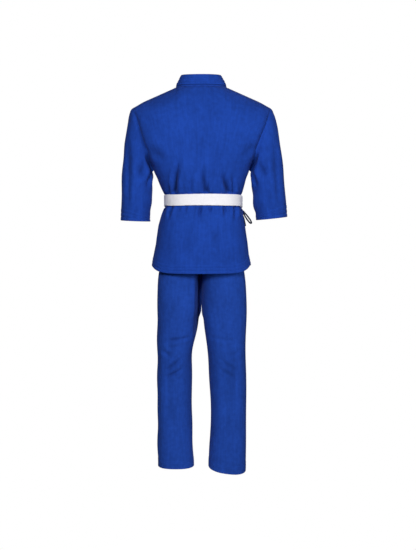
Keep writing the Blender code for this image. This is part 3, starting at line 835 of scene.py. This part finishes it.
def make_sleeve(side, hand, sections):
    middle = sleeve_grid(sections)
    turn = full_turn(middle.shape[1])
    distance = spans(middle, 0)[:, None] - TUCK - 0.002
    rise = distance[-1, 0] - distance
    centre = middle.mean(axis=1, keepdims=True)
    push = -0.0029 * bell(distance - 0.003, 0.006) * (0.3 + 0.7 * smooth((1 - np.cos(turn)) / 1.2))
    swell = waves(np.cos(turn) * 0.07, distance + np.sin(turn) * 0.04, 51 + hand, 0.12, 0.0018)
    push += swell * smooth(distance / 0.03)
    push -= 0.0075 * bell(distance - 0.012, 0.011) * bell(turn - 2.35, 0.55)
    push += creases(mesh_grid(turn * 0.065, distance), [
        ((0.145, 0.015), (0.100, 0.160), 0.010, 0.0075, (0.3, 0.5)),
        ((0.172, 0.010), (0.150, 0.130), 0.008, 0.0070, (0.3, 0.5)),
        ((0.255, 0.015), (0.300, 0.160), 0.010, 0.0075, (0.3, 0.5)),
        ((0.055, 0.050), (0.078, 0.290), 0.014, 0.0045, (0.4, 0.4)),
        ((0.120, 0.150), (0.100, 0.330), 0.012, 0.0035, (0.4, 0.4))])
    push *= smooth(rise / 0.02)
    mirror = np.array([hand, 1, 1])
    middle = pushed(middle, push, True, centre) * mirror
    piece = shell("sleeve_cloth_" + side, middle, hem_look, relief=hem_relief(rise) + 0 * turn, closed=True,
                  centre=centre * mirror, along=rise[:, 0], push=push)
    start = (np.array([0.215, 0, 1.204 - NECK_BASE]) + SLEEVE_WAY * 0.004) * mirror
    end = start + SLEEVE_WAY * mirror * 0.055
    declare(piece, ["sleeve_" + side, "sleeve_hem_" + side], ("jacket", side + "_sleeve", start, end),
            flat=(0.46, 0.34), held="hung", rests_on=["back_cloth"], area=0.125)


def make_sleeves():
    make_sleeve("left", 1, SLEEVE_LEFT)
    make_sleeve("right", -1, SLEEVE_RIGHT)


# ---- belt

def oval(turn, half, depth):
    return half * power(np.cos(turn), 2 / OVAL), depth * power(np.sin(turn), 2 / OVAL)


def strip_relief(share):
    """The belt's eight stitched rows and rounded edges."""
    edges = bell(share, 0.03) + bell(1 - share, 0.03)
    return -0.0006 * edges - 0.00022 * row_marks(share, 0.08, 0.12, 8, 0.014)


def make_belt_turn(name, half, back, front, drop):
    turn = full_turn(260)
    share = grid_column(0, 1, 50)
    x, depth = oval(turn, half, 1.0)
    y = depth * np.where(depth > 0, back, front)
    low = drop * smooth(0.5 - 0.5 * x / half)
    wander = 0.0008 * np.sin(3 * turn + 1.0) + 0.0006 * np.sin(5 * turn + drop * 400)
    z = BELT_LEVEL + TILT * y + BELT_WIDTH * (share - 0.5) - low + wander
    piece = shell(name, mesh_grid(x + WAIST_SHIFT, y, z), belt_look, 0.0020, strip_relief(share), True,
                  np.array([0, 0, BELT_LEVEL]), share[:, 0] * BELT_WIDTH)
    declare(piece, [name + "_turn"], "jacket", "belt_cotton", flat=(0.80, BELT_WIDTH), held="laid",
            rests_on=["back_cloth"])


def make_knot():
    """The square knot: two soft lobes of belt and the turn that wraps over them."""
    turn = full_turn(120)
    along = grid_column(-1, 1, 90)
    full = (1 - np.abs(along) ** 3.2 * 0.55) * (1 - 0.16 * bell(along, 0.42))
    depth, height = 0.0125 * power(np.cos(turn), 0.8) * full, 0.0205 * power(np.sin(turn), 0.8) * full
    lobes = mesh_grid(0.027 * along, -depth, height + 0.002 * along) + BELT_KNOT
    groove = 0.0007 * np.cos(height / 0.0024) * smooth((1 - np.abs(along)) / 0.2)
    declare(shell("belt_knot_lobes", lobes, belt_look, 0.0012, groove, True, BELT_KNOT), ["belt_knot"],
            "jacket", "belt_cotton")
    side = grid_column(-0.5, 0.5, 44)
    x = 0.021 * side * (1 + 0.25 * np.sin(turn)) + 0.004 * np.sin(turn)
    depth, height = 0.0138 * power(np.cos(turn), 0.85), 0.0212 * power(np.sin(turn), 0.85)
    wrap = mesh_grid(x, -depth * (1 - 0.3 * np.abs(side) ** 2), height) + BELT_KNOT
    declare(shell("belt_knot_wrap", wrap, belt_look, 0.0022, strip_relief(side + 0.5), True, BELT_KNOT,
                  (side[:, 0] + 0.5) * BELT_WIDTH), [], "jacket", "belt_cotton")


def make_belt_end(side, hand, reach):
    """A hanging end of the belt, coming out from inside the knot."""
    hidden = 0.020
    share = grid_column(-hidden / reach, 1, 120)
    across = grid_row(-0.5, 0.5, 40)
    down = np.maximum(share, 0.0)
    folded = smooth((share + hidden / reach) * reach / hidden)
    x = hand * (0.021 * folded + 0.006 * (1 - folded) + 0.036 * down)
    x = x + BELT_WIDTH * across * (0.45 + 0.55 * folded)
    y = -0.1470 - 0.013 * smooth(down * 1.4) - 0.0012 * (1 - np.cos(math.pi * across))
    y = y + 0.0030 * np.cos(3 * math.pi * across) * (1 - folded)
    z = 0.9340 - reach * share + hand * 0.0056 * across
    middle = mesh_grid(x, y, z)
    relief = np.broadcast_to(strip_relief(across + 0.5), middle.shape[:2]).T
    piece = shell("belt_end_strip_" + side, np.swapaxes(middle, 0, 1), belt_look, 0.0026, relief,
                  centre=np.array([0, 0, 0.8]), along=(across[0] + 0.5) * BELT_WIDTH)
    declare(piece, ["belt_end_" + side], side + "_belt_end", "belt_cotton", flat=(BELT_WIDTH, reach + hidden),
            held="hung", rests_on=["belt_knot_lobes"])


def make_belt():
    make_belt_turn("belt_inner", 0.1395, 0.1100, 0.1242, 0.0)
    make_belt_turn("belt_outer", 0.1427, 0.1132, 0.1274, 0.0015)
    make_knot()
    make_belt_end("left", 1, 0.250)
    make_belt_end("right", -1, 0.235)


# ---- side tie

def bow_loop(start, along, across, reach, spread):
    """The route of one loop of the bow, out from the knot and back."""
    angle = 2 * math.pi * (0.06 + 0.88 * np.linspace(0, 1, 21))[:, None]
    far = 0.5 * reach * (1 - np.cos(angle))
    wide = spread * np.sin(angle) * (0.35 + 0.65 * far / reach)
    return np.array(start) + unit(np.array(along)) * far + unit(np.array(across)) * wide


def bow_end(y, forward, drop):
    """The route of one loose end of the bow, lying on the side of the skirt."""
    share = np.linspace(0, 1, 15)
    z = 0.9370 - drop * share
    ahead = y - forward * share
    half = half_width(z) * (1 - (np.abs(ahead) / front_depth(z)) ** OVAL) ** (1 / OVAL)
    return np.stack([-half - 0.0060 - 0.0035 * smooth(share * 2), ahead, z], axis=-1)


def soft_route(route, count=70):
    """The route with evenly spaced points and softened corners."""
    places = np.concatenate([[0], np.cumsum(np.linalg.norm(np.diff(route, axis=0), axis=1))])
    fine = np.linspace(0, places[-1], count)
    line = np.stack([np.interp(fine, places, route[:, axis]) for axis in range(3)], axis=-1)
    for _ in range(6):
        line[1:-1] = (line[:-2] + 2 * line[1:-1] + line[2:]) / 4
    return line


def make_cord(kind, place, route):
    """A slightly flattened cloth cord along a route, with rounded ends."""
    line = soft_route(route) + TIE_SHIFT
    forward = unit(np.gradient(line, axis=0))
    first = unit(np.cross(forward, np.array([0, 1, 0.01])))
    second = np.cross(forward, first)
    turn = np.linspace(0, 2 * math.pi, 20, endpoint=False)[None, :, None]
    count = len(line)
    ends = np.minimum(np.arange(count), np.arange(count)[::-1])
    size = CORD_RADIUS * (0.1 + 0.9 * np.sqrt(smooth((ends + 0.4) / 2)))[:, None, None]
    twist = 1 + 0.05 * np.sin(3 * turn + 0.9 * np.arange(count)[:, None, None])
    middle = line[:, None] + size * twist * (first[:, None] * np.cos(turn) + second[:, None] * np.sin(turn))
    piece = shell(f"tie_{kind}_cord_{place}", middle, tie_look, 0.0004, closed=True, centre=line[:, None])
    declare(piece, [f"tie_{kind}_{place}"], "side_bow", "tie_cord")


def make_side_tie():
    loop_back = bow_loop((-0.1450, -0.0285, 0.9490), (-0.58, 0, -0.815), (-0.815, 0, 0.58), 0.062, 0.0060)
    loop_front = bow_loop((-0.1415, -0.0595, 0.9465), (0.15, -0.80, -0.58), (0, 0.58, -0.80), 0.038, 0.006)
    make_cord("loop", "back", loop_back)
    make_cord("loop", "front", loop_front)
    make_cord("end", "back", bow_end(-0.0440, 0.006, 0.048))
    make_cord("end", "front", bow_end(-0.0520, 0.010, 0.044))
    turn = full_turn(48)
    along = grid_column(-1, 1, 50)
    size = np.sqrt(np.maximum(0.02, 1 - np.abs(along) ** 2.6)) * (1 - 0.12 * bell(along, 0.3))
    knot = mesh_grid(0.0064 * size * np.cos(turn), 0.0110 * along, 0.0058 * size * np.sin(turn)) + TIE_KNOT
    knot = knot + TIE_SHIFT
    coils = 0.0005 * np.sin(turn * 2 + along * 9)
    piece = shell("tie_knot_cloth", knot, tie_look, 0.0006, coils, True, TIE_KNOT)
    declare(piece, ["tie_knot"], "jacket", "tie_cord")


# ---- trousers

def make_seat():
    levels = grid_column(SEAT_LOW, 0.988, 90)
    turn = full_turn(200)
    half = rounded(SEAT, 1, 0.012)(levels)
    depth = rounded(SEAT, 2, 0.012)(levels)
    x, y = oval(turn, half, depth)
    x = x + WAIST_SHIFT * bell(levels - 0.985, 0.055) * smooth((0.985 - levels) / 0.03)
    gather = smooth((levels - 0.88) / 0.10)
    push = 0.0016 * gather * np.sin(46 * turn + 2 * np.sin(3 * turn)) + waves(x, levels, 71, 0.12, 0.0008)
    push = push - 0.0012 - 0.0010 * smooth((levels - 0.90) / 0.03)
    middle = pushed(mesh_grid(x, y, levels), push * smooth((levels - SEAT_LOW) / 0.02 + 0.3), True)
    piece = shell("seat_cloth", middle, trouser_look, closed=True, along=levels[:, 0] - 0.70)
    declare(piece, ["trouser_seat"], "trousers", "trouser_cloth", flat=(0.98, 0.21), held="gathered",
            rests_on=["waist_elastic"], area=0.165)


def make_waistband():
    """The casing folded over the elastic, gathered; its profile is rows of (height, distance outward)."""
    turn = full_turn(260)
    path = np.array([(0.990, 0.0), (1.000, 0.0006), (1.008, 0.0), (1.018, 0.0006), (1.0262, 0.0002),
                     (1.0290, -0.0018), (1.0297, -0.0037), (1.0290, -0.0058), (1.0262, -0.0076),
                     (1.008, -0.0080), (0.990, -0.0080)])
    fine = np.linspace(0, len(path) - 1, 60)
    height, shift = [np.interp(fine, range(len(path)), column)[:, None] for column in path.T]
    gather = 0.0007 * np.sin(70 * turn + 3 * np.sin(2 * turn)) * np.where(shift > -0.0037, 1.0, -1.0)
    x, y = oval(turn, 0.127, 0.092)
    normal = unit(np.stack([x / 0.127 ** 2, y / 0.092 ** 2], axis=-1))
    x = x + normal[..., 0] * (shift + gather)
    y = y + normal[..., 1] * (shift + gather)
    piece = shell("waistband_cloth", mesh_grid(x, y, height), trouser_look, 0.0012, closed=True)
    declare(piece, ["waistband"], "trousers", "trouser_cloth", flat=(0.98, 0.09), held="gathered",
            rests_on=["waist_elastic"], area=0.063)
    for place in bpy.data.objects["waist_elastic"].material_slots:
        place.material = elastic_look


def leg_grid(inner_places, rows, turn):
    """Leg rings, seat end first."""
    top = LEG[-1][0]
    levels = np.concatenate([np.linspace(top, 0.040, rows - 45), np.linspace(0.040, 0.002, 46)[1:]])[:, None]
    inner = rounded([(level, place) for (level, _, _), place in zip(LEG, inner_places)], 1, 0.020)(levels)
    inner = np.maximum(0.0004, inner - 0.0046 * smooth((levels - 0.545) / 0.03))
    outer = rounded(LEG, 1, 0.014)(levels)
    depth = rounded(LEG, 2, 0.020)(levels)
    x, y = oval(turn, (outer - inner) / 2, depth)
    x = x + (inner + outer) / 2
    reach = (np.abs(x) / 0.1425) ** OVAL + (np.abs(y) / 0.0890) ** OVAL
    tight = smooth((levels - 0.745) / 0.012)
    y = y / np.maximum(1.0, reach ** (2 / OVAL)) ** tight
    return mesh_grid(x, y, levels)


def leg_folds(places, hand):
    """Knee wrinkles and long soft folds; places are (distance round the leg, height)."""
    knee = creases(places, [((0.075, 0.474), (0.180, 0.490), 0.0062, 0.0036, (0.4, 0.4)),
                            ((0.085, 0.362), (0.150, 0.420), 0.0064, 0.0042, (0.4, 0.3)),
                            ((0.080, 0.336), (0.150, 0.376), 0.0062, 0.0042, (0.4, 0.3)),
                            ((0.110, 0.415), (0.060, 0.445), 0.0080, 0.0040, (0.4, 0.4))])
    long = creases(places, [((0.100, 0.60), (0.108, 0.10), 0.020, 0.0040),
                            ((0.330, 0.62), (0.345, 0.12), 0.016, 0.0040)], (0.4, 0.3))
    return knee * (1.0 if hand > 0 else 0.45) + long


def hem_drop(across, behind, level):
    """How much lower the wearer's right trouser hem hangs toward its outer and back sides."""
    return (0.016 * across + 0.010 * np.maximum(0.0, behind)) * np.maximum(0.0, 1 - level / 0.3)


def slack_inner_thigh(middle, level):
    """The left leg's inner back corner hangs in, leaving a deep slot beside the right leg."""
    edge = np.interp(level, [0.45, 0.52, 0.59, 0.73], [0.034, 0.034, 0.027, 0.024])
    inside = smooth((edge - middle[:, :, 0]) / (edge - 0.002)) ** 0.8
    strength = smooth((level - 0.43) / 0.09) * smooth((0.772 - level) / 0.025)
    room = np.maximum(0.0, middle[:, :, 1] + 0.045)
    middle[:, :, 1] -= room * inside * strength
    return middle


def make_leg(side, hand, inner_places):
    turn = full_turn(170)
    middle = leg_grid(inner_places, 260, turn)
    level = middle[:, :, 2]
    centre = middle.mean(axis=1, keepdims=True)
    push = leg_folds(mesh_grid(turn * 0.0735, level), hand)
    push += waves(np.cos(turn) * 0.07, level + np.sin(turn) * 0.05, 91 + hand, 0.17, 0.0018)
    push *= smooth((0.74 - level) / 0.06)
    push *= smooth(np.abs(turn - math.pi) / 0.12 + smooth((0.56 - level) / 0.03))
    seam = bell((turn - 0.56) * 0.07, 0.0024) - 1.4 * bell((turn - 0.50) * 0.07, 0.0012)
    push += 0.0011 * seam * smooth((0.78 - level) / 0.03)
    middle = pushed(middle, push, True, centre)
    if hand > 0:
        middle = slack_inner_thigh(middle, level)
    else:
        x = middle[:, :, 0]
        across = (x - x.min(axis=1, keepdims=True)) / np.ptp(x, axis=1, keepdims=True)
        middle[:, :, 2] -= hem_drop(across, np.sin(turn), level)
    relief = 0.0008 * smooth((TROUSER_HEM_DEEP - level) / 0.0015)
    relief = relief - 0.0009 * row_marks(level, *TROUSER_HEM_ROWS, 0.0012)
    mirror = np.array([hand, 1, 1])
    piece = shell("leg_cloth_" + side, middle * mirror, trouser_look, relief=relief, closed=True,
                  centre=centre * mirror, along=level[:, 0], push=push)
    bodies = ("trousers", side + "_leg", *span_down(LEG_BEND))
    declare(piece, ["trouser_leg_" + side, "leg_hem_" + side], bodies, "trouser_cloth", flat=(0.52, 0.84),
            held="hung", rests_on=["seat_cloth"], area=0.36)


def make_trousers():
    make_seat()
    make_waistband()
    make_leg("left", 1, LEG_LEFT)
    make_leg("right", -1, LEG_RIGHT)


# ---- stage

def aim(item, place, target):
    """Puts a camera or light in place, looking at the target."""
    item.location = place
    item.rotation_euler = (Vector(target) - Vector(place)).to_track_quat("-Z", "Y").to_euler()


def make_camera():
    """Straight behind the wearer, a little above the belt and looking slightly down."""
    distance = 4.0
    height = 0.987 - NECK_BASE
    drop = distance * math.tan(math.radians(3.96))
    data = bpy.data.cameras.new("camera")
    data.lens = 71.3
    data.sensor_width = 36.0
    camera = new_object("camera", data)
    aim(camera, (-0.0234, distance, height), (-0.0234, 0.0, height - drop))
    bpy.context.scene.camera = camera


def add_light(name, place, target, size, watts):
    data = bpy.data.lights.new(name, "AREA")
    data.shape = "DISK"
    data.size = size
    data.energy = watts
    aim(new_object(name, data), place, target)


def make_stage():
    """A white studio, three soft lights and a small pale floor, low enough for trousers_off."""
    scene = bpy.context.scene
    scene.view_settings.view_transform = "Standard"
    world = bpy.data.worlds.new("studio")
    scene.world = world
    world.use_nodes = True
    tree = world.node_tree
    glow, white = tree.nodes["Background"], tree.nodes.new("ShaderNodeBackground")
    set_inputs(glow, {"Color": (1, 1, 1, 1), "Strength": 0.10})
    set_inputs(white, {"Color": (1, 1, 1, 1), "Strength": 1.0})
    path = tree.nodes.new("ShaderNodeLightPath")
    mix = tree.nodes.new("ShaderNodeMixShader")
    set_inputs(mix, {0: path.outputs["Is Camera Ray"], 1: glow.outputs[0], 2: white.outputs[0]})
    set_inputs(tree.nodes["World Output"], {0: mix.outputs[0]})
    add_light("key", (0.55, 3.4, 0.60), (0, 0, -0.5), 0.9, 83)
    add_light("fill", (-1.7, 3.0, -0.10), (0, 0, -0.6), 1.1, 54)
    add_light("front_key", (-0.5, -3.5, 0.4), (0, 0, -0.55), 1.1, 130)
    low = (0, 0, -NECK_BASE - 0.37)
    bpy.ops.mesh.primitive_circle_add(vertices=96, radius=0.38, fill_type="NGON", location=low)
    floor = bpy.context.object
    floor.name = "studio_floor"
    look = bpy.data.materials.new("pale_floor")
    look.use_nodes = True
    set_inputs(look.node_tree.nodes["Principled BSDF"], {
        "Base Color": (0.80, 0.80, 0.80, 1), "Roughness": 0.9,
        "Emission Color": (1, 1, 1, 1), "Emission Strength": 0.55})
    floor.data.materials.append(look)


make_camera()
make_jacket_body()
make_tails()
make_sleeves()
make_belt()
make_side_tie()
make_trousers()
make_stage()
